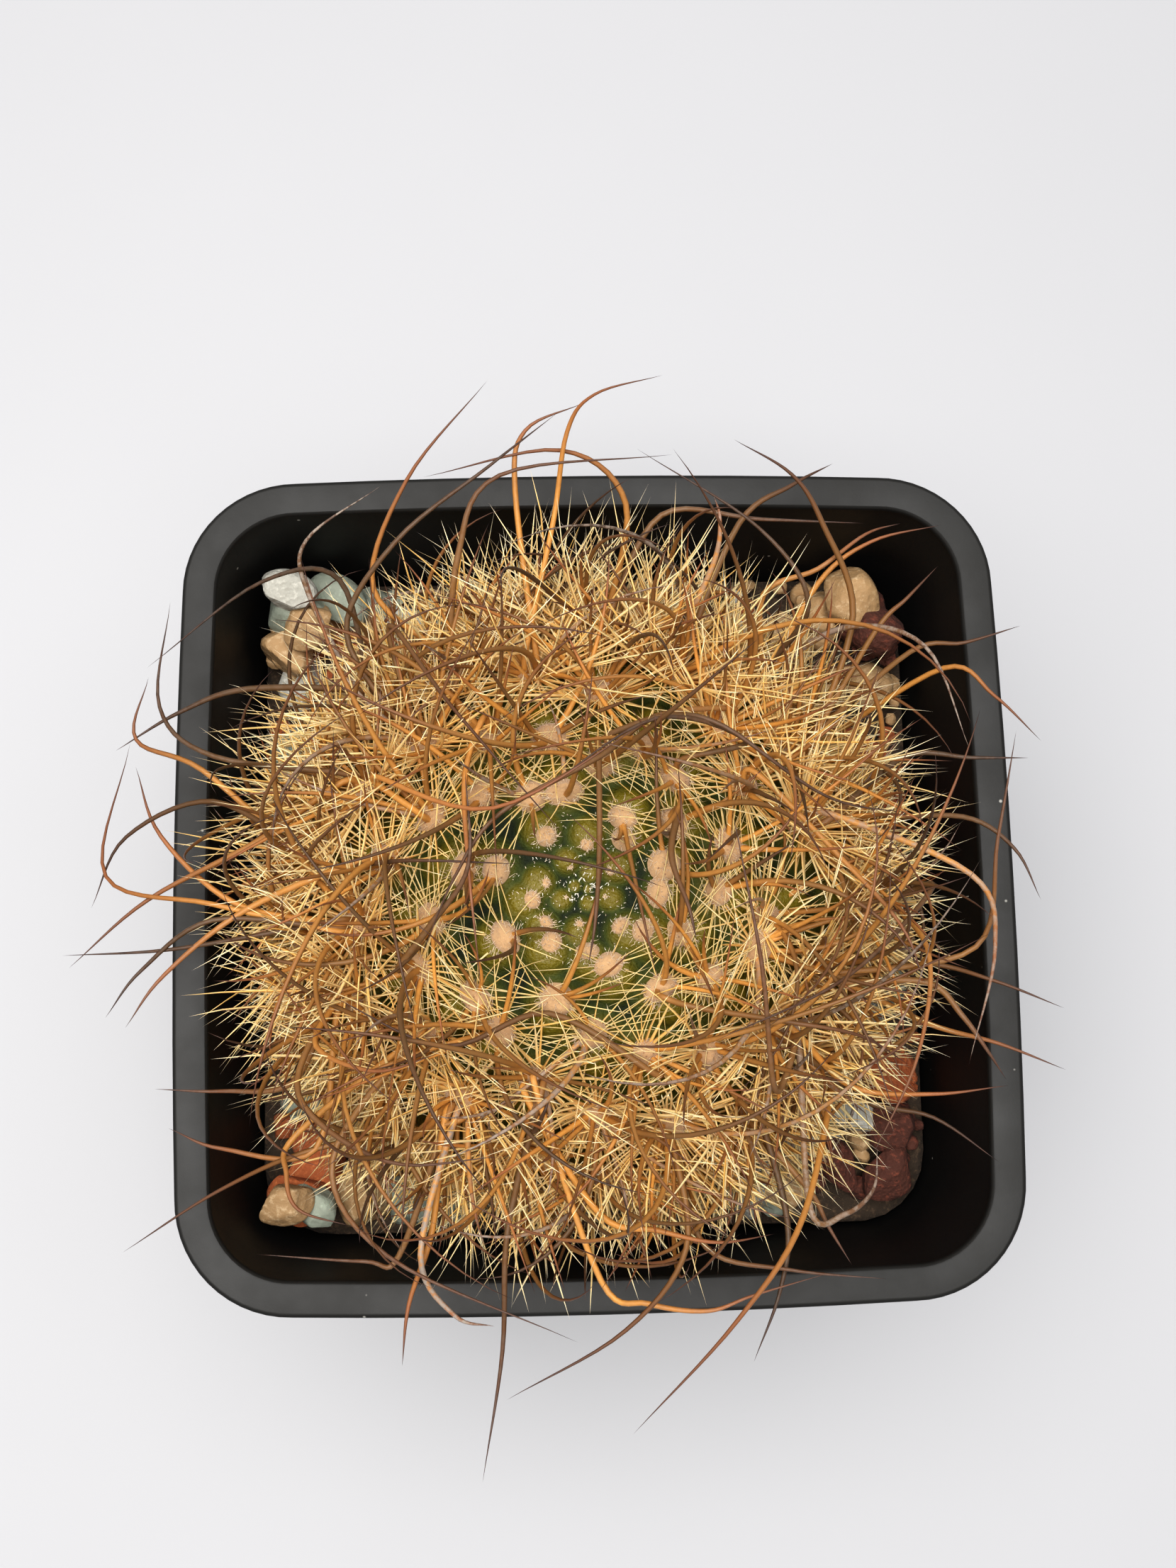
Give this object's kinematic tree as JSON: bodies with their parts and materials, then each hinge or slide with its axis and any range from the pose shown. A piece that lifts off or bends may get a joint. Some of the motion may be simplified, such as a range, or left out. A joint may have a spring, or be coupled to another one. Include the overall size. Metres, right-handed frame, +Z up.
{
  "type": "potted eriosyce cactus",
  "caption": "Globular ribbed cactus with a nest of long curved spines, standing in gravel and soil in a square black plastic pot.",
  "frame": {"origin": "middle of the flat base that the pot stands on", "axes": "+Z up along the pot, +X and +Y square to the pot's sides, +Y towards the top of the picture"},
  "size_m": [0.091, 0.0939, 0.1025],
  "materials": {
    "pot_plastic": "black moulded polypropylene with a dull, slightly scuffed face",
    "soil": "gritty dark potting soil",
    "gravel": "dry crushed stone in white, tan, rust, grey and green",
    "cactus": "green skin under straw-coloured and amber spines with dark tips"
  },
  "bodies": {
    "root": {"pot": "pot_plastic", "soil": "soil", "gravel": "gravel", "cactus": "cactus"}
  },
  "joints": []
}
